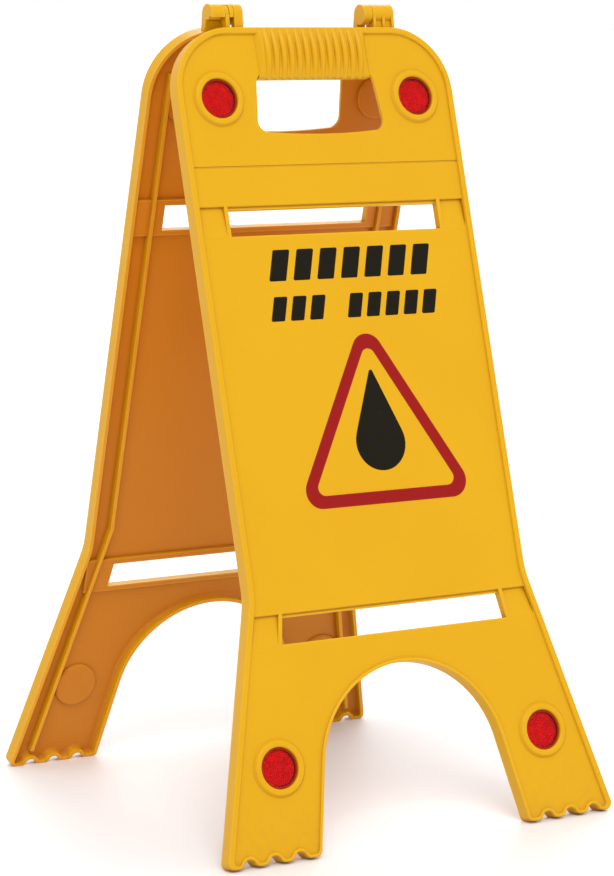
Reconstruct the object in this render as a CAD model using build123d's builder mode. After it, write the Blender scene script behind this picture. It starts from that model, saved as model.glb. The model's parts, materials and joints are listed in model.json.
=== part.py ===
"""Folding wet floor sign: two identical moulded leaves that snap together at two hinges on top,
each with a ribbed carrying grip, two slots and four round reflectors.

Each leaf is drawn lying down: X is sideways, -Y runs down the leaf from the hinge axis, and Z runs
out of its front face from the plane that both leaves share when the sign is folded shut."""

import os
from math import atan, cos, degrees, radians, sin

from build123d import *

# ---------------------------------------------------------------- driving dimensions, mm and degrees

HALF_ANGLE = 16.1  # lean of each leaf from upright when the sign stands open

# leaf outline, measured down from the hinge axis and sideways from the centre line
LEAF_LENGTH = 612.4
LEAF_TOP = 12.8
HALF_WIDTH = 118.0
CORNER_RADIUS = 49.0
KINK_DOWN = 428.0  # where the straight sides turn out into the legs
KINK_RADIUS = 60.0
LEG_FLARE = 0.255  # outer edge of a leg: sideways per unit down
ARCH_TOP = 484.3
ARCH_RADIUS = 77.0
ARCH_FLARE = 0.2  # inner edge of a leg: sideways per unit down

# tray section
DEPTH = 11.8  # folding plane to the top of the front bead
BACK_GAP = 0.4  # the side walls stop this far short of the folding plane
BEAD_HEIGHT = 2.0
BEAD_WIDTH = 5.0  # along the top and the outer sides
RIM_WIDTH = 2.6  # the narrower bead round the toes and the arch
BEAD_ROUND = 1.2
BEAD_FOOT_ROUND = 0.7
WALL = 2.8
SHEET = 3.0
INNER_ROUND = 2.6

# toes
NOTCH_RADIUS = 5.0
NOTCH_DEPTH = 5.6
NOTCH_PITCH = 20.4
NOTCH_MIDDLE = 126.3
TOE_ROUND = 5.1
FOOT_TRIM = 1.2  # height taken off the toes' back edges, so that they stand flat

# carrying opening and the grip above it
OPENING_TOP = 47.0
OPENING_BOTTOM = 90.0
OPENING_SAG = 3.0
OPENING_HALF_TOP = 49.5
OPENING_HALF_BOTTOM = 54.5
OPENING_RADIUS = 8.0
OPENING_ROUND = 1.0
GRIP_HALF = 47.5
GRIP_BOTTOM = 50.8
GRIP_CREST_DOWN = 29.0
GRIP_CREST = 13.6
GRIP_TOP_LEVEL = 11.4
GRIP_BOTTOM_LEVEL = 9.4
GRIP_LIP_LEVEL = 2.6
GRIP_SHELL = 3.0
GRIP_CURL_RADIUS = 2.5
GRIP_RAMP = 4.0
GRIP_END_ROUND = 1.5
GRIP_RIBS = 13
GRIP_RIB_PITCH = 6.55
GRIP_RIB_RADIUS = 2.7
GRIP_RIB_HEIGHT = 1.9  # at the crest
GRIP_RIB_END_HEIGHT = 0.9  # at the top and bottom ends
GRIP_RIB_OVERHANG = 1.0  # the ribs' round ends hang this far below the grip

# slots, the ramped pocket beside each end of them, and the groove across the top of the leaf
SLOTS = {  # top, bottom, half width at the top, half width at the bottom
    "upper": (145.5, 167.5, 89.6, 89.6),
    "lower": (440.6, 461.8, 92.6, 96.2),
}
SLOT_END_RIB = 3.0
SLOT_LIP = 2.4  # how far a set-back lip hangs down from a slot's top line
SLOT_LIP_ROUND = 1.2
BAND_ABOVE = 2.2  # the sheet is thicker behind each slot, from this far above it
BAND_BELOW = 4.0
BAND_HEIGHT = 3.0
POCKET_DEPTH = 2.4
GROOVE_DOWN = 116.4
GROOVE_WIDTH = 1.4
GROOVE_DEPTH = 0.5

# reflectors
REFLECTOR_SPOTS = {"top": (84.0, 65.8), "bottom": (112.7, 547.3)}  # sideways, down
LENS_RADIUS = 14.6
LENS_THICKNESS = 2.6
LENS_PROUD = 0.4
LENS_ROUND = 0.6
LENS_SKIRT = 1.2
PRISM_GAP = 1.4
BACKING_THICKNESS = 1.0
SEAT_CLEARANCE = 0.1
BEZEL_RADIUS = 20.8
BEZEL_TOP_RADIUS = 18.9
BEZEL_TOP = 12.4
BEZEL_ROUND = 1.6
BOSS_RADIUS = 17.7
BOSS_FLOOR = 2.6
BOSS_ROUND = 1.9

# stiffening ribs on the inner face, one beside each side wall
RIB_SIDE = 100.0
RIB_START_DOWN = 46.0
RIB_TURN_DOWN = 412.0
RIB_END = (146.0, 600.0)
RIB_THICKNESS = 2.8
RIB_HEIGHT = 5.6

# hinges: each leaf has a pin on its left and a hook on its right
HINGE_SIDE = 65.3
HINGE_LENGTH = 25.6
BARREL_RADIUS = 7.6
PIN_RADIUS = 3.8
PIN_CLEARANCE = 0.08
CHEEK_LENGTH = 7.2
END_CLEARANCE = 0.4
WEB_THICKNESS = 3.0
WEB_RADIUS = 7.2
WEB_TOP_ANGLE = 45.0
WEB_BOTTOM_ANGLE = -90.0
WEB_CLEARANCE = 0.4
HOOK_START_ANGLE = -75.0
HOOK_END_ANGLE = 180.0
STOP_GAP_ANGLE = 1.0
NECK_BACK = 1.0
NECK_THICKNESS = 3.6
NECK_TOP = 5.0
GUSSET_THICKNESS = 2.2
GUSSET_TOP = (7.2, -2.4)  # out from the folding plane, up from the hinge axis
GUSSET_FOOT = 5.2

# ---------------------------------------------------------------- derived values

LEAN_SIN = sin(radians(HALF_ANGLE))
LEAN_COS = cos(radians(HALF_ANGLE))
FACE = DEPTH - BEAD_HEIGHT  # front of the flat sheet
INNER = FACE - SHEET  # back of the flat sheet
HINGE_HEIGHT = LEAF_LENGTH * LEAN_COS - BACK_GAP * LEAN_SIN - FOOT_TRIM
LEG_END = LEAF_LENGTH + 2 * DEPTH  # the legs' sides are drawn this far down, and the toes cut off there
ARCH_TILT = atan(ARCH_FLARE)
ARCH_CENTRE_DOWN = ARCH_TOP + ARCH_RADIUS
NOTCH_CENTRES = [
    (side * (NOTCH_MIDDLE + step * NOTCH_PITCH), NOTCH_DEPTH - LEAF_LENGTH - NOTCH_RADIUS)
    for side in (-1, 1)
    for step in (-1, 0, 1)
]
GRIP_START = -LEAF_TOP - BEAD_ROUND
GRIP_RIB_START = GRIP_START - 1
SEAT_RADIUS = LENS_RADIUS + SEAT_CLEARANCE
LENS_BACK = FACE + LENS_PROUD - LENS_THICKNESS
SEAT_FLOOR = LENS_BACK - BACKING_THICKNESS
SPOTS = [
    (side * sideways, -down) for sideways, down in REFLECTOR_SPOTS.values() for side in (-1, 1)
]
HINGE_INNER = HINGE_SIDE - HINGE_LENGTH / 2
HINGE_OUTER = HINGE_SIDE + HINGE_LENGTH / 2
HOOK_INNER = HINGE_INNER + CHEEK_LENGTH + END_CLEARANCE
HOOK_LENGTH = HINGE_OUTER - HOOK_INNER
HOOK_MIDDLE = (HINGE_OUTER + HOOK_INNER) / 2
BORE_RADIUS = PIN_RADIUS + PIN_CLEARANCE
# the other leaf's web reaches this angle in the hook when the sign is open, and stops against it
STOP_ANGLE = 180 - 2 * HALF_ANGLE - WEB_TOP_ANGLE
TOP_WALL = -LEAF_TOP - WALL / 2

FRONT_LEAF = Plane(origin=(0, 0, HINGE_HEIGHT), x_dir=(1, 0, 0), z_dir=(0, -LEAN_COS, LEAN_SIN))
BACK_LEAF = Plane(origin=(0, 0, HINGE_HEIGHT), x_dir=(-1, 0, 0), z_dir=(0, LEAN_COS, LEAN_SIN))
LEAVES = {"front": FRONT_LEAF, "back": BACK_LEAF}
FLOOR_IN_LEAF = Plane(origin=(0, -HINGE_HEIGHT / LEAN_COS, 0), z_dir=(0, LEAN_COS, LEAN_SIN))


# ---------------------------------------------------------------- profiles


def arch_face(grow=0.0):
    """The space between the legs, grown outwards, and open below the toes."""
    reach = ARCH_RADIUS + grow
    foot_down = LEAF_LENGTH + DEPTH
    with BuildSketch() as region:
        with BuildLine():
            crown = CenterArc(
                (0, -ARCH_CENTRE_DOWN), reach, degrees(ARCH_TILT), 180 - 2 * degrees(ARCH_TILT)
            )
            start = crown @ 0
            foot = start.X + ARCH_FLARE * (foot_down + start.Y)
            Polyline(start, (foot, -foot_down), (-foot, -foot_down), crown @ 1)
        make_face()
    return region.sketch


def leaf_face(edge=0.0, rim=0.0, corner=TOE_ROUND):
    """The leaf's outline, moved in by edge at its outer sides and by rim at the arch and the toes."""
    with BuildSketch() as region:
        with BuildLine():
            FilletPolyline(
                (0, -LEAF_TOP),
                (HALF_WIDTH, -LEAF_TOP),
                (HALF_WIDTH, -KINK_DOWN),
                (HALF_WIDTH + LEG_FLARE * (LEG_END - KINK_DOWN), -LEG_END),
                (0, -LEG_END),
                radius=(CORNER_RADIUS, KINK_RADIUS, TOE_ROUND),
            )
            mirror(about=Plane.YZ)
        make_face()
        if edge:
            offset(amount=-edge, mode=Mode.REPLACE)
        with Locations((0, -LEG_END)):
            Rectangle(4 * HALF_WIDTH, 2 * (LEG_END - LEAF_LENGTH + rim), mode=Mode.SUBTRACT)
        add(arch_face(rim), mode=Mode.SUBTRACT)
        with Locations(*NOTCH_CENTRES):
            Circle(NOTCH_RADIUS + rim, mode=Mode.SUBTRACT)
        offset(amount=-corner, mode=Mode.REPLACE)
        offset(amount=corner, kind=Kind.ARC, mode=Mode.REPLACE)
    return region.sketch


def slot_face(slot, margin=0.0, above=0.0):
    """One slot's outline, with margin added at its two ends and above added along its top."""
    top, bottom, half_top, half_bottom = SLOTS[slot]
    half_raised = half_top - above * (half_bottom - half_top) / (bottom - top)
    with BuildSketch() as region:
        with BuildLine():
            Polyline(
                (-half_raised - margin, above - top),
                (half_raised + margin, above - top),
                (half_bottom + margin, -bottom),
                (-half_bottom - margin, -bottom),
                close=True,
            )
        make_face()
    return region.sketch


def opening_face():
    """The carrying opening, wider at its sagging bottom than at the grip."""
    with BuildSketch() as region:
        with BuildLine():
            Polyline(
                (-OPENING_HALF_BOTTOM, -OPENING_BOTTOM),
                (-OPENING_HALF_TOP, -OPENING_TOP),
                (OPENING_HALF_TOP, -OPENING_TOP),
                (OPENING_HALF_BOTTOM, -OPENING_BOTTOM),
            )
            ThreePointArc(
                (OPENING_HALF_BOTTOM, -OPENING_BOTTOM),
                (0, -OPENING_BOTTOM - OPENING_SAG),
                (-OPENING_HALF_BOTTOM, -OPENING_BOTTOM),
            )
        make_face()
        fillet(region.vertices(), OPENING_RADIUS)
    return region.sketch


def ring_sector(inner, outer, start, end):
    """A slice of a ring between two angles, measured up from the way out of the leaf's face."""
    with BuildSketch() as region:
        with BuildLine():
            outside = CenterArc((0, 0), outer, start, end - start)
            inside = CenterArc((0, 0), inner, start, end - start)
            Line(outside @ 0, inside @ 0)
            Line(outside @ 1, inside @ 1)
        make_face()
    return region.sketch


def gusset_face():
    """The foot that carries a hinge barrel on the leaf's top wall, seen along the hinge axis."""
    with BuildSketch() as region:
        with BuildLine():
            Polyline(
                (NECK_BACK, TOP_WALL),
                (NECK_BACK, -NECK_TOP),
                GUSSET_TOP,
                (GUSSET_FOOT, TOP_WALL),
                close=True,
            )
        make_face()
    return region.sketch


def across(sideways):
    """A drawing plane square to the hinge axis: X out of the leaf's face, Y up the leaf."""
    return Plane(origin=(sideways, 0, 0), x_dir=(0, 0, 1), z_dir=(-1, 0, 0))


# ---------------------------------------------------------------- ramped pockets beside the slots

with BuildPart() as pockets:
    # from a rounded step at the slot's top line, a ramp rises to nothing at its bottom line
    with BuildSketch(Plane.YZ):
        for top, bottom, _, _ in SLOTS.values():
            with BuildLine():
                lip = CenterArc((SLOT_LIP_ROUND - top, FACE - SLOT_LIP_ROUND), SLOT_LIP_ROUND, 90, 90)
                Polyline(lip @ 1, (-top, FACE - POCKET_DEPTH), (-bottom, FACE), lip @ 0)
            make_face()
    extrude(amount=2 * HALF_WIDTH, both=True)
    with BuildSketch():
        add(leaf_face(BEAD_WIDTH, RIM_WIDTH, TOE_ROUND - RIM_WIDTH))
        for slot in SLOTS:
            add(slot_face(slot, SLOT_END_RIB, SLOT_LIP_ROUND), mode=Mode.SUBTRACT)
            add(slot_face(slot, 0, SLOT_LIP_ROUND))
    extrude(amount=DEPTH, mode=Mode.INTERSECT)

# ---------------------------------------------------------------- carrying grip

with BuildPart() as grip:
    # section: a bulging front that curls under along the top of the opening
    with BuildSketch(Plane.YZ):
        with BuildLine():
            crest = ThreePointArc(
                (GRIP_START, GRIP_TOP_LEVEL),
                (-GRIP_CREST_DOWN, GRIP_CREST),
                (-GRIP_BOTTOM, GRIP_BOTTOM_LEVEL),
            )
            Polyline(
                crest @ 1,
                (-GRIP_BOTTOM, GRIP_LIP_LEVEL),
                (GRIP_SHELL - GRIP_BOTTOM, GRIP_LIP_LEVEL),
                (GRIP_SHELL - GRIP_BOTTOM, INNER),
                (GRIP_START, INNER),
                crest @ 0,
            )
        make_face()
    extrude(amount=GRIP_HALF, both=True)
    fillet(grip.edges().filter_by(Axis.X).sort_by(Axis.Y)[:2].sort_by(Axis.Z)[-1], GRIP_CURL_RADIUS)
    # both ends slope down to the sheet
    with BuildSketch(Plane.XZ):
        with BuildLine():
            FilletPolyline(
                (GRIP_HALF, 0),
                (GRIP_HALF, FACE),
                (GRIP_HALF - GRIP_RAMP, GRIP_CREST),
                (0, GRIP_CREST),
                radius=GRIP_END_ROUND,
            )
            Line((0, GRIP_CREST), (0, 0))
            Line((0, 0), (GRIP_HALF, 0))
        make_face()
        mirror(about=Plane.YZ)
    extrude(amount=OPENING_BOTTOM, both=True, mode=Mode.INTERSECT)

with BuildPart() as grip_hollow:
    with BuildSketch(Plane.YZ):
        with BuildLine():
            roof = ThreePointArc(
                (-LEAF_TOP - WALL - 1, GRIP_TOP_LEVEL - GRIP_SHELL),
                (-GRIP_CREST_DOWN, GRIP_CREST - GRIP_SHELL),
                (GRIP_SHELL - GRIP_BOTTOM, INNER),
            )
            Polyline(roof @ 1, (GRIP_SHELL - GRIP_BOTTOM, 0), (-LEAF_TOP - WALL - 1, 0), roof @ 0)
        make_face()
    extrude(amount=GRIP_HALF - GRIP_RAMP - GRIP_SHELL / 2, both=True)

with BuildPart() as grip_rib:
    with BuildLine(Plane.YZ):
        ridge = ThreePointArc(
            (GRIP_RIB_START, GRIP_TOP_LEVEL + GRIP_RIB_END_HEIGHT - GRIP_RIB_RADIUS),
            (-GRIP_CREST_DOWN, GRIP_CREST + GRIP_RIB_HEIGHT - GRIP_RIB_RADIUS),
            (
                GRIP_RIB_RADIUS - GRIP_RIB_OVERHANG - GRIP_BOTTOM,
                GRIP_BOTTOM_LEVEL + GRIP_RIB_END_HEIGHT - GRIP_RIB_RADIUS,
            ),
        )
    with BuildSketch(Plane(origin=ridge @ 0, z_dir=ridge % 0)):
        Circle(GRIP_RIB_RADIUS)
    sweep()
    with Locations(ridge @ 1):
        Sphere(GRIP_RIB_RADIUS)

# ---------------------------------------------------------------- reflector seat

with BuildPart() as bezel:
    with BuildSketch(Plane.XZ):
        with BuildLine():
            Polyline(
                (0, SEAT_FLOOR - BOSS_FLOOR),
                (BOSS_RADIUS, SEAT_FLOOR - BOSS_FLOOR),
                (BOSS_RADIUS, FACE),
                (BEZEL_RADIUS, FACE),
                (BEZEL_TOP_RADIUS, BEZEL_TOP),
                (0, BEZEL_TOP),
                close=True,
            )
        make_face()
    revolve(axis=Axis.Z)
    with BuildSketch(Plane.XY.offset(SEAT_FLOOR)):
        Circle(SEAT_RADIUS)
    extrude(amount=BEZEL_TOP, mode=Mode.SUBTRACT)
    fillet(bezel.edges().filter_by(GeomType.CIRCLE).group_by(Axis.Z)[-1], BEZEL_ROUND)
    fillet(bezel.edges().filter_by(GeomType.CIRCLE).group_by(Axis.Z)[0], BOSS_ROUND)

# ---------------------------------------------------------------- one leaf

with BuildPart() as leaf:
    # tray: outline, flat sheet behind the bead, and the cavity between the side walls
    with BuildSketch(Plane.XY.offset(BACK_GAP)):
        add(leaf_face())
    extrude(amount=DEPTH - BACK_GAP)
    with BuildSketch(Plane.XY.offset(FACE)):
        add(leaf_face(BEAD_WIDTH, RIM_WIDTH, TOE_ROUND - RIM_WIDTH))
    extrude(amount=BEAD_HEIGHT, mode=Mode.SUBTRACT)
    sheet_front = leaf.faces().filter_by(Axis.Z).sort_by(Axis.Z)[-2]
    fillet(sheet_front.edges(), BEAD_FOOT_ROUND)
    bead_top = leaf.faces().filter_by(Axis.Z).sort_by(Axis.Z)[-1]
    fillet(bead_top.edges(), BEAD_ROUND)
    with BuildSketch():
        add(leaf_face(WALL, WALL, TOE_ROUND - WALL))
    extrude(amount=INNER, mode=Mode.SUBTRACT)
    cavity_floor = leaf.faces().filter_by(Axis.Z).sort_by(Axis.Z)[1]
    fillet(cavity_floor.edges(), INNER_ROUND)

    # thicker bands behind the slots
    with BuildSketch(Plane.XY.offset(INNER - BAND_HEIGHT)):
        for top, bottom, _, _ in SLOTS.values():
            with Locations((0, (BAND_ABOVE - top - bottom - BAND_BELOW) / 2)):
                Rectangle(2 * (HALF_WIDTH - WALL / 2), bottom + BAND_BELOW - top + BAND_ABOVE)
    extrude(amount=BAND_HEIGHT + SHEET / 2)

    # carrying opening and slots, pierced through the sheet
    with BuildSketch():
        add(opening_face())
    extrude(amount=DEPTH, mode=Mode.SUBTRACT)
    opening_rim = leaf.faces().filter_by(Axis.Z).sort_by(Axis.Z)[-2].inner_wires()
    fillet(opening_rim.edges(), OPENING_ROUND)
    with BuildSketch():
        for slot in SLOTS:
            add(slot_face(slot, 0, -SLOT_LIP))
    extrude(amount=DEPTH, mode=Mode.SUBTRACT)
    add(pockets.part, mode=Mode.SUBTRACT)
    with BuildSketch(Plane.XY.offset(FACE - GROOVE_DEPTH)):
        with Locations((0, -GROOVE_DOWN)):
            Rectangle(2 * (HALF_WIDTH - BEAD_WIDTH), GROOVE_WIDTH)
    extrude(amount=BEAD_HEIGHT, mode=Mode.SUBTRACT)

    # grip with its ribs
    add(grip.part)
    with GridLocations(GRIP_RIB_PITCH, 1, GRIP_RIBS, 1):
        add(grip_rib.part)
    add(grip_hollow.part, mode=Mode.SUBTRACT)

    # reflector seats
    with Locations(*SPOTS):
        add(bezel.part)
    with BuildSketch(Plane.XY.offset(SEAT_FLOOR)):
        with Locations(*SPOTS):
            Circle(SEAT_RADIUS)
    extrude(amount=DEPTH, mode=Mode.SUBTRACT)

    # stiffening ribs
    with BuildSketch(Plane.XY.offset(INNER - RIB_HEIGHT)):
        with BuildLine():
            Polyline((RIB_SIDE, -RIB_START_DOWN), (RIB_SIDE, -RIB_TURN_DOWN), (RIB_END[0], -RIB_END[1]))
        trace(line_width=RIB_THICKNESS)
        mirror(about=Plane.YZ)
    extrude(amount=RIB_HEIGHT + (SHEET - POCKET_DEPTH) / 2)

    # hook on the right: a barrel open underneath, on three gussets, slotted for the other leaf's web
    with BuildSketch(across(HOOK_MIDDLE)):
        add(ring_sector(BORE_RADIUS, BARREL_RADIUS, HOOK_START_ANGLE, HOOK_END_ANGLE))
        with Locations((NECK_BACK + NECK_THICKNESS / 2, (TOP_WALL - NECK_TOP) / 2)):
            Rectangle(NECK_THICKNESS, -NECK_TOP - TOP_WALL)
        Circle(BORE_RADIUS, mode=Mode.SUBTRACT)
    extrude(amount=HOOK_LENGTH / 2, both=True)
    for station in (-1, 0, 1):
        with BuildSketch(across(HOOK_MIDDLE + station * (HOOK_LENGTH - GUSSET_THICKNESS) / 2)):
            add(gusset_face())
            Circle(BORE_RADIUS, mode=Mode.SUBTRACT)
        extrude(amount=GUSSET_THICKNESS / 2, both=True)
    with BuildSketch(across(HINGE_SIDE)):
        add(ring_sector(PIN_RADIUS / 2, BARREL_RADIUS + 1, STOP_ANGLE - STOP_GAP_ANGLE, HOOK_END_ANGLE + 30))
    extrude(amount=WEB_THICKNESS / 2 + WEB_CLEARANCE, both=True, mode=Mode.SUBTRACT)

    # pin on the left, held by a cheek at its inner end and a web near its middle
    with BuildSketch(across(-HINGE_SIDE)):
        Circle(PIN_RADIUS)
    extrude(amount=HINGE_LENGTH / 2, both=True)
    with BuildSketch(across(-HINGE_INNER - CHEEK_LENGTH / 2)):
        Circle(BARREL_RADIUS)
        add(gusset_face())
    extrude(amount=CHEEK_LENGTH / 2, both=True)
    with BuildSketch(across(-HINGE_SIDE)):
        add(ring_sector(PIN_RADIUS / 2, WEB_RADIUS, WEB_BOTTOM_ANGLE, WEB_TOP_ANGLE))
        add(gusset_face())
    extrude(amount=WEB_THICKNESS / 2, both=True)

    # toes trimmed level with the floor
    split(bisect_by=FLOOR_IN_LEAF, keep=Keep.TOP)

# ---------------------------------------------------------------- one reflector

with BuildPart() as backing:
    with BuildSketch():
        Circle(LENS_RADIUS)
    extrude(amount=BACKING_THICKNESS)

with BuildPart() as lens:
    with BuildSketch(Plane.XY.offset(BACKING_THICKNESS)):
        Circle(LENS_RADIUS)
    extrude(amount=LENS_THICKNESS)
    fillet(lens.edges().group_by(Axis.Z)[-1], LENS_ROUND)
    with BuildSketch(Plane.XY.offset(BACKING_THICKNESS)):
        Circle(LENS_RADIUS - LENS_SKIRT)
    extrude(amount=PRISM_GAP, mode=Mode.SUBTRACT)

# ---------------------------------------------------------------- the assembled sign

os.makedirs("parts", exist_ok=True)

for side, plane in LEAVES.items():
    with BuildPart() as panel:
        with Locations(plane.location):
            add(leaf.part)
    panel.part.label = f"{side}_panel"
    export_step(panel.part, f"parts/{panel.part.label}.step")

    for row, (sideways, down) in REFLECTOR_SPOTS.items():
        for hand, direction in (("left", -1), ("right", 1)):
            seat = plane.location * Location((direction * sideways, -down, SEAT_FLOOR))
            for name, piece in (("lens", lens), ("backing", backing)):
                with BuildPart() as seated:
                    with Locations(seat):
                        add(piece.part)
                seated.part.label = f"{side}_{row}_{hand}_{name}"
                export_step(seated.part, f"parts/{seated.part.label}.step")
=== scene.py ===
"""Looks of the folding wet floor sign: moulded plastic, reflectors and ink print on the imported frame.

Lengths are in metres. Each leaf has its own drawing frame, as in the CAD: x sideways, y up towards the
hinge axis, z out of its front face, with the origin on the hinge axis.
"""

import json
from math import acos, atan2, cos, hypot, pi, radians, sin, sqrt, tan

import bmesh
import bpy
from mathutils import Matrix, Vector


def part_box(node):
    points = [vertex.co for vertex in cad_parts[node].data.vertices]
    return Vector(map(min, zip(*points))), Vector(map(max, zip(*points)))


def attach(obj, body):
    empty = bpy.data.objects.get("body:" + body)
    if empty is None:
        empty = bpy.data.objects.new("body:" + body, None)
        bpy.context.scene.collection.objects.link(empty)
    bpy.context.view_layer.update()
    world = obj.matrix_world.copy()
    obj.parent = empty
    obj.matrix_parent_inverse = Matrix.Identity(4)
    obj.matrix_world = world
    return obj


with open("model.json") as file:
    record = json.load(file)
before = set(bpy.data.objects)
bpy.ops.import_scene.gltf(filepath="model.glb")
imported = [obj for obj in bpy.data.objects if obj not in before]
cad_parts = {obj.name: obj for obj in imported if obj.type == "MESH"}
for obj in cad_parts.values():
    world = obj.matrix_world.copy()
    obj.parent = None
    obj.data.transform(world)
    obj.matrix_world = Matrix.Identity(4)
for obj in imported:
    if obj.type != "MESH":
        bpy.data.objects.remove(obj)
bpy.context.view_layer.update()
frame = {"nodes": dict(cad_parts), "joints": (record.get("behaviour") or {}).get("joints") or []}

MM = 0.001

# ---------------------------------------------------------------- places, from the frame

FOLD = frame["joints"][0]
HINGE = Vector(FOLD["pos_m"])
LEAN = radians(FOLD["range_deg"][1] / 2)
UPRIGHT = radians(90) - LEAN
FACE = 9.8 * MM  # front of the sheet, out from the folding plane
LEAVES = {
    "front": Matrix.Translation(HINGE) @ Matrix.Rotation(UPRIGHT, 4, "X"),
    "back": Matrix.Translation(HINGE) @ Matrix.Rotation(pi, 4, "Z") @ Matrix.Rotation(UPRIGHT, 4, "X"),
}
SPOTS = [f"{row}_{hand}" for row in ("top", "bottom") for hand in ("left", "right")]

# ---------------------------------------------------------------- camera

CAMERA_PLACE = HINGE + Vector((-1.144, -1.919, -0.008))
CAMERA_YAW = radians(-30.95)
CAMERA_PITCH = radians(90 - 7.87)
CAMERA_LENS = 122.66
CAMERA_SENSOR = 36


def add_camera():
    """A camera at the picture's viewing angle; its sensor's size is for the long side."""
    data = bpy.data.cameras.new("camera")
    data.lens = CAMERA_LENS
    data.sensor_width = CAMERA_SENSOR
    camera = bpy.data.objects.new("camera", data)
    camera.location = CAMERA_PLACE
    camera.rotation_euler = (CAMERA_PITCH, 0, CAMERA_YAW)
    bpy.context.scene.collection.objects.link(camera)
    bpy.context.scene.camera = camera


add_camera()

# ---------------------------------------------------------------- node helpers


def new_material(name):
    """A node material with its shader, which is still plain."""
    material = bpy.data.materials.new(name)
    material.use_nodes = True
    shader = material.node_tree.nodes["Principled BSDF"]
    return material, shader


def node(material, kind, inputs=None, **settings):
    """A new node with its settings and inputs set: an input is a number, a tuple or another node's output."""
    made = material.node_tree.nodes.new(kind)
    for name, value in settings.items():
        setattr(made, name, value)
    for name, value in (inputs or {}).items():
        if isinstance(value, bpy.types.NodeSocket):
            material.node_tree.links.new(value, made.inputs[name])
        else:
            made.inputs[name].default_value = value
    return made


def link(material, output, target):
    """A wire from a node's output to another node's input."""
    material.node_tree.links.new(output, target)


def noise(material, place, scale, detail=2.0, roughness=0.5, stretch=(1, 1, 1)):
    """Soft noise from 0 to 1, at a number of cells a metre that can differ along x, y and z."""
    stretched = node(material, "ShaderNodeMapping", {"Vector": place, "Scale": stretch})
    made = node(
        material,
        "ShaderNodeTexNoise",
        {"Vector": stretched.outputs[0], "Scale": scale, "Detail": detail, "Roughness": roughness},
    )
    return made.outputs["Fac"]


def ramp(material, value, low, high, out_low=0.0, out_high=1.0):
    """A value's range, mapped to another and held at its ends."""
    made = node(
        material,
        "ShaderNodeMapRange",
        {"Value": value, "From Min": low, "From Max": high, "To Min": out_low, "To Max": out_high},
        interpolation_type="SMOOTHSTEP",
    )
    return made.outputs["Result"]


def math(material, operation, first, second=0.0, third=0.0):
    """The result of a sum on numbers or other nodes' outputs."""
    made = node(material, "ShaderNodeMath", {0: first, 1: second, 2: third}, operation=operation)
    return made.outputs[0]


def mix_colour(material, share, first, second, blend="MIX"):
    """The first colour, mixed with a share of the second."""
    inputs = {0: share, 6: first, 7: second}
    made = node(material, "ShaderNodeMix", inputs, data_type="RGBA", blend_type=blend)
    return made.outputs[2]


# ---------------------------------------------------------------- materials

YELLOW = (0.640, 0.340, 0.0005, 1)
YELLOW_DEEP = (0.630, 0.325, 0.0005, 1)
# painted shade: deeper orange for the inner faces, standing in for their shade and the bounce light between
# the leaves, at the top and at the foot
YELLOW_INNER_SHADE_TOP = (0.67, 0.240, 0.014, 1)
YELLOW_INNER_SHADE_FOOT = (0.56, 0.195, 0.011, 1)
# painted light: the inner rims and rib tops near the opening, lighter than the shaded inner faces
YELLOW_LIT_INNER_RIM = (0.74, 0.300, 0.016, 1)
# painted shade: multiplied into the corners and creases
CREASE_SHADE_TINT = (0.72, 0.50, 0.45, 1)
# the pale colour of the edges: rubbed wear and a painted highlight
YELLOW_WORN_AND_HIGHLIT = (0.84, 0.50, 0.03, 1)
GRIME = (0.30, 0.18, 0.05, 1)
LENS_TINTS = (0.96, 0.11, 0.13, 1), (0.92, 0.08, 0.11, 1)
BACKING_TINTS = (0.46, 0.040, 0.002, 1), (0.56, 0.055, 0.004, 1)
WELD_TINTS = (0.31, 0.021, 0.001, 1), (0.38, 0.031, 0.002, 1)
# painted glints: a shaded and a lit red for the prisms
PRISM_SHADED_RED = (0.60, 0.016, 0.030, 1)
PRISM_GLINT_RED = (0.90, 0.070, 0.110, 1)

EDGE_ROUNDING = 0.7 * MM  # how round a sharp edge is shaded
RUB_AND_HIGHLIGHT_REACH = 2.2 * MM  # how far from an edge the plastic is painted pale, as rubbed wear and as a painted highlight
RUB_AND_HIGHLIGHT_SHARE = 0.65
CREASE_SHADE_REACH = 4.5 * MM  # how far out of a corner the painted shade reaches
CREASE_SHADE_SHARE = 0.75
INNER_SHADE_TOP = -10 * MM  # the painted shade on the inner faces starts below the hinges, between these two heights
INNER_SHADE_FULL = -14 * MM
RIM_LIGHT_START = 4.0 * MM  # the inner faces' painted shade gives way to the rims' painted light between these two depths
RIM_LIGHT_FULL = 1.0 * MM
SHADE_TOP = -0.05  # the inner faces' painted shade deepens downwards between these heights
SHADE_FOOT = -0.60
DIRT_TOP = -0.560  # the dirt on the toes sets in between these heights
DIRT_FOOT = -0.612
DIRT_SHARE = 0.10
SCUFF_ROUGHNESS = 0.09
GRAIN_DEPTH = 0.03 * MM
WAVE_DEPTH = 0.5 * MM
SCATTER_DEPTH = 2.5 * MM
INK_RELIEF = 0.02 * MM
WELD_RELIEF = 0.03 * MM


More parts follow.
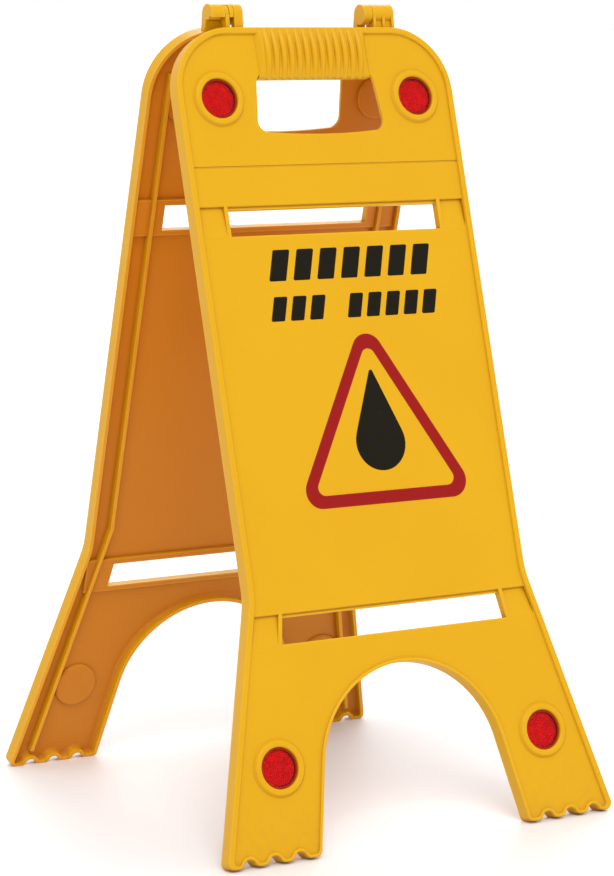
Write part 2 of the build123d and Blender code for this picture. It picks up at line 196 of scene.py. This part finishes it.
def plastic(side):
    """Satin moulded plastic, with fine grain, faint waviness, scuffs and a little dirt. Its edges are painted
    pale, as rubbed wear and as a painted highlight, and there is painted shade in its corners and on its
    inner faces.
    """
    material, shader = new_material(f"{side}_moulded_plastic")
    leaf = LEAVES[side]
    coordinates = node(material, "ShaderNodeTexCoord")
    place = node(
        material,
        "ShaderNodeMapping",
        {"Vector": coordinates.outputs["Object"], "Location": leaf.translation, "Rotation": leaf.to_euler()},
        vector_type="TEXTURE",
    ).outputs[0]
    axes = node(material, "ShaderNodeSeparateXYZ", {0: place})

    # edges: rounded in shading, and painted pale as rubbed wear and as a painted highlight, with painted
    # shade in the corners
    rounded = node(material, "ShaderNodeBevel", {"Radius": EDGE_ROUNDING}, samples=4)
    ridge = node(material, "ShaderNodeAmbientOcclusion", {"Distance": RUB_AND_HIGHLIGHT_REACH}, samples=6, inside=True)
    crease = node(material, "ShaderNodeAmbientOcclusion", {"Distance": CREASE_SHADE_REACH}, samples=6)
    edge = ramp(material, ridge.outputs["AO"], 0.85, 0.30)
    corner = ramp(material, crease.outputs["AO"], 0.92, 0.35)
    patchy = ramp(material, noise(material, place, 55, 4), 0.35, 0.65, 0.75, 1.0)

    # colour: uneven base colour, painted shade on the inner faces (deeper downwards, with painted light on
    # their rims), painted shade in the corners, edges painted pale as wear and as a painted highlight, and a
    # little dirt on the toes
    cloud = noise(material, place, 9, 3)
    outside = mix_colour(material, ramp(material, cloud, 0.3, 0.7), YELLOW, YELLOW_DEEP)
    facing = node(
        material,
        "ShaderNodeVectorMath",
        {0: coordinates.outputs["Normal"], 1: tuple(leaf.to_3x3() @ Vector((0, 0, 1)))},
        operation="DOT_PRODUCT",
    )
    below_top = ramp(material, axes.outputs["Y"], INNER_SHADE_TOP, INNER_SHADE_FULL)
    # painted shade: how much of the inner faces' deeper colour is used, on faces turned inwards below the
    # hinges
    inside = math(material, "MULTIPLY", ramp(material, facing.outputs["Value"], 0.1, -0.6), below_top)
    # painted light on the inner rims and rib tops, nearest the folding plane
    rim_light = ramp(material, axes.outputs["Z"], RIM_LIGHT_START, RIM_LIGHT_FULL)
    down = ramp(material, axes.outputs["Y"], SHADE_TOP, SHADE_FOOT)
    inner_face_shade = mix_colour(material, down, YELLOW_INNER_SHADE_TOP, YELLOW_INNER_SHADE_FOOT)
    painted_inner_shade = mix_colour(material, rim_light, inner_face_shade, YELLOW_LIT_INNER_RIM)
    # the plastic's colour, with painted shade on the inner faces
    pigment_and_inner_shade = mix_colour(material, inside, outside, painted_inner_shade)
    # painted shade in the corners and creases
    crease_shade_share = math(material, "MULTIPLY", corner, CREASE_SHADE_SHARE)
    shaded = mix_colour(material, crease_shade_share, pigment_and_inner_shade, CREASE_SHADE_TINT, "MULTIPLY")
    # edges painted pale: partly rubbed wear in patches, partly a painted highlight
    rubbed_and_highlit = math(material, "MULTIPLY", math(material, "MULTIPLY", edge, patchy), RUB_AND_HIGHLIGHT_SHARE)
    # the colour with its edges painted pale, as rubbed wear and as a painted highlight
    worn = mix_colour(material, rubbed_and_highlit, shaded, YELLOW_WORN_AND_HIGHLIT)
    toe = ramp(material, axes.outputs["Y"], DIRT_TOP, DIRT_FOOT)
    dirt_patch = ramp(material, noise(material, place, 120, 5, 0.65), 0.42, 0.66)
    dirt = math(material, "MULTIPLY", math(material, "MULTIPLY", toe, dirt_patch), DIRT_SHARE)
    link(material, mix_colour(material, dirt, worn, GRIME), shader.inputs["Base Color"])

    # roughness: satin, with scuffs drawn up and down the leaf
    scuff = ramp(material, noise(material, place, 60, 3, 0.6, (9, 1, 1)), 0.56, 0.72)
    satin = ramp(material, noise(material, place, 25, 3), 0.3, 0.7, 0.30, 0.37)
    link(material, math(material, "MULTIPLY_ADD", scuff, SCUFF_ROUGHNESS, satin), shader.inputs["Roughness"])

    # relief: grain from the mould, and the slow waviness of a cooled sheet
    grain = noise(material, place, 2600, 2)
    wave = noise(material, place, 16, 1)
    fine = node(
        material,
        "ShaderNodeBump",
        {"Strength": 0.35, "Distance": GRAIN_DEPTH, "Height": grain, "Normal": rounded.outputs[0]},
    )
    slow = node(
        material,
        "ShaderNodeBump",
        {"Strength": 0.5, "Distance": WAVE_DEPTH, "Height": wave, "Normal": fine.outputs[0]},
    )
    link(material, slow.outputs[0], shader.inputs["Normal"])

    shader.inputs["Subsurface Weight"].default_value = 0.12
    shader.inputs["Subsurface Radius"].default_value = (1.0, 0.35, 0.05)
    shader.inputs["Subsurface Scale"].default_value = SCATTER_DEPTH
    shader.inputs["IOR"].default_value = 1.49
    shader.inputs["Specular IOR Level"].default_value = 0.22
    return material


def clear_red():
    """The clear red face of a reflector, polished and lightly scratched."""
    material, shader = new_material("clear_red")
    place = node(material, "ShaderNodeTexCoord").outputs["Object"]
    scratch = ramp(material, noise(material, place, 500, 3, 0.6, (1, 6, 1)), 0.55, 0.75, 0.04, 0.14)
    link(material, scratch, shader.inputs["Roughness"])
    tint = mix_colour(material, noise(material, place, 90, 2), *LENS_TINTS)
    link(material, tint, shader.inputs["Base Color"])
    shader.inputs["Transmission Weight"].default_value = 1.0
    shader.inputs["IOR"].default_value = 1.22
    return material


def prism_red():
    """The prisms behind a reflector's face, with painted glints: some cells are painted brighter, as if they
    caught the light.
    """
    material, shader = new_material("prism_red")
    place = node(material, "ShaderNodeTexCoord").outputs["Object"]
    cells = node(material, "ShaderNodeTexVoronoi", {"Vector": place, "Scale": 760})
    # painted glints: random cells painted brighter
    painted_glint = node(material, "ShaderNodeSeparateColor", {0: cells.outputs["Color"]})
    patch = noise(material, place, 160, 2)
    glint_share = math(material, "MULTIPLY_ADD", painted_glint.outputs[0], 0.30, math(material, "MULTIPLY", patch, 0.8))
    tone = mix_colour(material, ramp(material, glint_share, 0.2, 1.0), PRISM_SHADED_RED, PRISM_GLINT_RED)
    link(material, tone, shader.inputs["Base Color"])
    shader.inputs["Metallic"].default_value = 0.35
    shader.inputs["Roughness"].default_value = 0.55
    shader.inputs["Specular IOR Level"].default_value = 0.1
    return material


def backing_red():
    """The plain closing disc behind the prisms."""
    material, shader = new_material("backing_red")
    place = node(material, "ShaderNodeTexCoord").outputs["Object"]
    tone = mix_colour(material, noise(material, place, 300, 3), *BACKING_TINTS)
    link(material, tone, shader.inputs["Base Color"])
    shader.inputs["Roughness"].default_value = 0.5
    return material


def weld_red():
    """The dull brown-red rim of a reflector, with faint melt marks."""
    material, shader = new_material("weld_red")
    place = node(material, "ShaderNodeTexCoord").outputs["Object"]
    tone = mix_colour(material, noise(material, place, 420, 3), *WELD_TINTS)
    link(material, tone, shader.inputs["Base Color"])
    relief = node(
        material,
        "ShaderNodeBump",
        {"Strength": 0.3, "Distance": WELD_RELIEF, "Height": noise(material, place, 900, 2)},
    )
    link(material, relief.outputs[0], shader.inputs["Normal"])
    shader.inputs["Roughness"].default_value = 0.55
    shader.inputs["Specular IOR Level"].default_value = 0.08
    return material


def ink(name, colour, worn_colour):
    """Screen-printed ink: a thin film, slightly worn and with a faint mesh texture."""
    material, shader = new_material(name)
    place = node(material, "ShaderNodeTexCoord").outputs["Object"]
    film = ramp(material, noise(material, place, 180, 4, 0.6), 0.50, 0.80, 0.0, 0.35)
    link(material, mix_colour(material, film, colour, worn_colour), shader.inputs["Base Color"])
    satin = ramp(material, noise(material, place, 70, 3), 0.3, 0.7, 0.30, 0.42)
    link(material, satin, shader.inputs["Roughness"])
    relief = node(
        material,
        "ShaderNodeBump",
        {"Strength": 0.3, "Distance": INK_RELIEF, "Height": noise(material, place, 1800, 2)},
    )
    link(material, relief.outputs[0], shader.inputs["Normal"])
    shader.inputs["Specular IOR Level"].default_value = 0.1
    return material


PLASTICS = {side: plastic(side) for side in LEAVES}
CLEAR_RED = clear_red()
PRISM_RED = prism_red()
BACKING_RED = backing_red()
WELD_RED = weld_red()
BLACK_INK = ink("black_ink", (0.008, 0.006, 0.002, 1), (0.016, 0.012, 0.004, 1))
RED_INK = ink("red_ink", (0.27, 0.007, 0.006, 1), (0.32, 0.012, 0.008, 1))


def paint(obj, material):
    """One material for all of an object."""
    obj.data.materials.clear()
    obj.data.materials.append(material)


# ---------------------------------------------------------------- CAD nodes

for side in LEAVES:
    paint(frame["nodes"][f"{side}_panel"], PLASTICS[side])
    for spot in SPOTS:
        paint(frame["nodes"][f"{side}_{spot}_lens"], CLEAR_RED)
        paint(frame["nodes"][f"{side}_{spot}_backing"], BACKING_RED)


def add_piece(name, mesh, side, material):
    """A new piece drawn in a leaf's own frame, which rides on that leaf."""
    mesh.transform(LEAVES[side])
    obj = bpy.data.objects.new(name, mesh)
    bpy.context.scene.collection.objects.link(obj)
    paint(obj, material)
    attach(obj, f"{side}_leaf")
    return obj


# ---------------------------------------------------------------- reflector prisms

PRISM_EDGE = 1.15 * MM  # side of the triangles between the prisms' corners, seen from the front
PRISM_STEP = 0.10 * MM  # a prism has two such steps from its pit to its peaks
PRISM_REACH = 12.9 * MM
PRISM_GAP = 0.60 * MM  # from the backing to the pits
BACKING_THICKNESS = 1.0 * MM
LENS_DEPTH = 2.6 * MM  # from the backing to the front of the lens


def backing_front(side, leaf, spot):
    """The middle of a reflector's backing, and how far out its front is, in the leaf's frame."""
    low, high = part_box(f"{side}_{spot}_backing")
    centre = leaf.inverted() @ ((low + high) / 2)
    return centre, centre.z + BACKING_THICKNESS / 2


def prism_mesh(centre, floor):
    """Shallow prisms that fill a disc: each pit has three facets, and its six neighbours rise in turn."""
    made = bmesh.new()
    corners = {}

    def corner(i, j):
        if (i, j) not in corners:
            flat = Vector((i + j / 2, j * sqrt(3) / 2)) * PRISM_EDGE
            if flat.length > PRISM_REACH:
                flat *= PRISM_REACH / flat.length
            step = (i - j) % 3
            corners[i, j] = made.verts.new((centre.x + flat.x, centre.y + flat.y, floor + PRISM_STEP * step))
        return corners[i, j]

    ring = [(1, 0), (0, 1), (-1, 1), (-1, 0), (0, -1), (1, -1)]
    cells = int(PRISM_REACH / PRISM_EDGE) + 2
    for i in range(-2 * cells, 2 * cells):
        for j in range(-cells, cells):
            reach = PRISM_EDGE * hypot(i + j / 2, j * sqrt(3) / 2)
            if (i - j) % 3 or reach > PRISM_REACH:
                continue
            for k in (0, 2, 4):
                facet = [(0, 0), ring[k], ring[k + 1], ring[(k + 2) % 6]]
                made.faces.new([corner(i + di, j + dj) for di, dj in facet])
    mesh = bpy.data.meshes.new("prisms")
    made.to_mesh(mesh)
    made.free()
    return mesh


for side, leaf in LEAVES.items():
    for spot in SPOTS:
        centre, front = backing_front(side, leaf, spot)
        prisms = prism_mesh(centre, front + PRISM_GAP)
        add_piece(f"{side}_{spot}_prisms", prisms, side, PRISM_RED)

WELD_STEPS = 72
WELD_BEND_STEPS = 6
WELD_LIFT = 0.03 * MM
WELD_INNER = 13.3 * MM
LENS_RADIUS = 14.6 * MM
LENS_ROUND = 0.6 * MM


def weld_mesh(centre, front):
    """The dull rim over a lens's front edge, where it is welded to its backing."""
    profile = []
    for lift in (WELD_LIFT, -WELD_LIFT):
        path = [(WELD_INNER, front + lift)]
        bend = LENS_ROUND + lift
        for step in range(WELD_BEND_STEPS + 1):
            angle = radians(90 - 90 * step / WELD_BEND_STEPS)
            radius = LENS_RADIUS - LENS_ROUND + bend * cos(angle)
            path.append((radius, front - LENS_ROUND + bend * sin(angle)))
        profile += path if lift > 0 else path[::-1]
    made = bmesh.new()
    rings = []
    for step in range(WELD_STEPS):
        turn = 2 * pi * step / WELD_STEPS
        ring = []
        for radius, height in profile:
            place = (centre.x + radius * cos(turn), centre.y + radius * sin(turn), height)
            ring.append(made.verts.new(place))
        rings.append(ring)
    for ring, following in zip(rings, rings[1:] + rings[:1]):
        for k in range(len(profile)):
            made.faces.new([ring[k - 1], ring[k], following[k], following[k - 1]])
    bmesh.ops.recalc_face_normals(made, faces=made.faces)
    mesh = bpy.data.meshes.new("weld")
    made.to_mesh(mesh)
    made.free()
    return mesh


for side, leaf in LEAVES.items():
    for spot in SPOTS:
        centre, front = backing_front(side, leaf, spot)
        weld = weld_mesh(centre, front + LENS_DEPTH)
        add_piece(f"{side}_{spot}_weld", weld, side, WELD_RED)

# ---------------------------------------------------------------- print

INK_HEIGHT = 0.07 * MM
PRINT_CENTRE = 8 * MM
BLOCK_LEAN = 0.28  # of a block's height
BLOCK_WIDTH = 0.70  # of the space from one block to the next
BLOCK_ROUND = 1.2 * MM
BLOCK_ROWS = [  # top, height, left side and right side, in millimetres, and how many blocks stand together
    (178.5, 23, -72, 69, [7]),
    (213, 18, -75, 70, [3, 5]),
]
TRIANGLE = [(2, 230), (-76, 369), (80, 369)]  # in millimetres, like the drop's ends
TRIANGLE_ROUND = 13 * MM
TRIANGLE_BAND = 9 * MM
TRIANGLE_HOLE_ROUND = 0.45  # of the outer rounding
DROP_FOOT = (2, 324)
DROP_TIP = (2, 272)
DROP_FOOT_RADIUS = 21 * MM
DROP_TIP_RADIUS = 1.6 * MM


def ink_mesh(outlines):
    """A flat film of ink on the sheet, bounded by closed outlines; an outline inside another is a hole."""
    curve = bpy.data.curves.new("ink", "CURVE")
    curve.dimensions = "2D"
    curve.fill_mode = "BOTH"
    curve.extrude = INK_HEIGHT / 2
    for points in outlines:
        spline = curve.splines.new("POLY")
        spline.points.add(len(points) - 1)
        for place, (x, y) in zip(spline.points, points):
            place.co = (x, y, 0, 1)
        spline.use_cyclic_u = True
    drawn = bpy.data.objects.new("ink", curve)
    bpy.context.scene.collection.objects.link(drawn)
    bpy.context.view_layer.update()
    mesh = bpy.data.meshes.new_from_object(drawn.evaluated_get(bpy.context.evaluated_depsgraph_get()))
    bpy.data.objects.remove(drawn)
    mesh.transform(Matrix.Translation((0, 0, FACE + INK_HEIGHT / 2)))
    return mesh


def rounded(points, radius, steps=8):
    """A closed outline whose corners are rounded, each with its own arc."""
    outline = []
    for index, corner in enumerate(points):
        corner = Vector(corner)
        before = (Vector(points[index - 1]) - corner).normalized()
        after = (Vector(points[(index + 1) % len(points)]) - corner).normalized()
        half = before.angle(after) / 2
        centre = corner + (before + after).normalized() * radius / sin(half)
        start = corner + before * radius / tan(half) - centre
        end = corner + after * radius / tan(half) - centre
        first = atan2(start.y, start.x)
        sweep = (atan2(end.y, end.x) - first + pi) % (2 * pi) - pi
        for step in range(steps + 1):
            angle = first + sweep * step / steps
            outline.append((centre.x + radius * cos(angle), centre.y + radius * sin(angle)))
    return outline


def block_row(top, height, left, right, groups):
    """A row of slanted blocks; groups gives how many stand together, with a gap after each."""
    blocks = sum(groups)
    slots = blocks + (len(groups) - 1)
    pitch = (right - left) / slots
    lean = BLOCK_LEAN * height
    outlines = []
    place = left
    for group in groups:
        for _ in range(group):
            near, far = place, place + pitch * BLOCK_WIDTH
            foot = [(near, -top - height), (far, -top - height)]
            head = [(far + lean, -top), (near + lean, -top)]
            outlines.append(rounded(foot + head, BLOCK_ROUND, steps=4))
            place += pitch
        place += pitch
    return outlines


def triangle_ring(outer, radius, band):
    """A rounded triangle, of nearly equal sides, with a rounded triangular hole in it."""
    _, left, right = outer
    middle = sum((Vector(p) for p in outer), Vector((0, 0))) / 3
    inradius = (Vector(left) - Vector(right)).length / (2 * sqrt(3))
    share = (inradius - band) / inradius
    inner = [tuple(middle + (Vector(p) - middle) * share) for p in outer]
    hole_radius = radius * TRIANGLE_HOLE_ROUND
    return [rounded(outer, radius, steps=12), rounded(inner, hole_radius, steps=10)]


def drop(low, high, low_radius, high_radius, steps=24):
    """The outline of a drop: a wide round foot and a narrow round tip joined by their common tangents."""
    low, high = Vector(low), Vector(high)
    along = high - low
    heading = atan2(along.y, along.x)
    tilt = acos((low_radius - high_radius) / along.length)
    outline = []
    for step in range(steps + 1):
        angle = heading + tilt + (2 * pi - 2 * tilt) * step / steps
        outline.append((low.x + low_radius * cos(angle), low.y + low_radius * sin(angle)))
    for step in range(steps + 1):
        angle = heading - tilt + 2 * tilt * step / steps
        outline.append((high.x + high_radius * cos(angle), high.y + high_radius * sin(angle)))
    return outline


def printed(x, down):
    """A leaf's own place for a point of the print, from millimetres across and down from the hinge axis."""
    return (PRINT_CENTRE + x * MM, -down * MM)


for side in LEAVES:
    blocks = []
    for top, height, left, right, groups in BLOCK_ROWS:
        near, far = PRINT_CENTRE + left * MM, PRINT_CENTRE + right * MM
        blocks += block_row(top * MM, height * MM, near, far, groups)
    add_piece(f"{side}_print_blocks", ink_mesh(blocks), side, BLACK_INK)
    ring = triangle_ring([printed(*corner) for corner in TRIANGLE], TRIANGLE_ROUND, TRIANGLE_BAND)
    add_piece(f"{side}_print_triangle", ink_mesh(ring), side, RED_INK)
    mark = drop(printed(*DROP_FOOT), printed(*DROP_TIP), DROP_FOOT_RADIUS, DROP_TIP_RADIUS)
    add_piece(f"{side}_print_drop", ink_mesh([mark]), side, BLACK_INK)

# ---------------------------------------------------------------- studio

FLOOR_SIZE = 400.0
FLOOR_DROP = 0.2 * MM  # keeps the floor's face clear of the toes' faces
FLOOR_TONES = (0.80, 0.80, 0.80, 1), (0.83, 0.83, 0.83, 1)


def add_floor():
    """A plain pale floor."""
    bpy.ops.mesh.primitive_plane_add(size=FLOOR_SIZE, location=(0, 0, -FLOOR_DROP))
    floor = bpy.context.object
    floor.name = "floor"
    material, shader = new_material("pale_floor")
    place = node(material, "ShaderNodeTexCoord").outputs["Object"]
    tone = mix_colour(material, noise(material, place, 3, 3), *FLOOR_TONES)
    link(material, tone, shader.inputs["Base Color"])
    shader.inputs["Roughness"].default_value = 0.55
    paint(floor, material)


def add_sun(name, towards, spread, strength):
    """A soft far lamp, from the way towards it, its width in degrees and its strength."""
    data = bpy.data.lights.new(name, "SUN")
    data.angle = radians(spread)
    data.energy = strength
    lamp = bpy.data.objects.new(name, data)
    lamp.rotation_euler = Vector(towards).to_track_quat("Z", "Y").to_euler()
    bpy.context.scene.collection.objects.link(lamp)


def add_world(strength):
    """Even white light from all round."""
    world = bpy.data.worlds.new("studio")
    world.use_nodes = True
    background = world.node_tree.nodes["Background"]
    background.inputs["Color"].default_value = (1, 1, 1, 1)
    background.inputs["Strength"].default_value = strength
    bpy.context.scene.world = world


add_floor()
add_world(strength=1.0)
add_sun("key", towards=(-0.4, -1.0, 1.35), spread=30, strength=1.35)
add_sun("rear", towards=(0.7, 1.0, 0.9), spread=40, strength=0.8)
bpy.context.scene.view_settings.view_transform = "Standard"
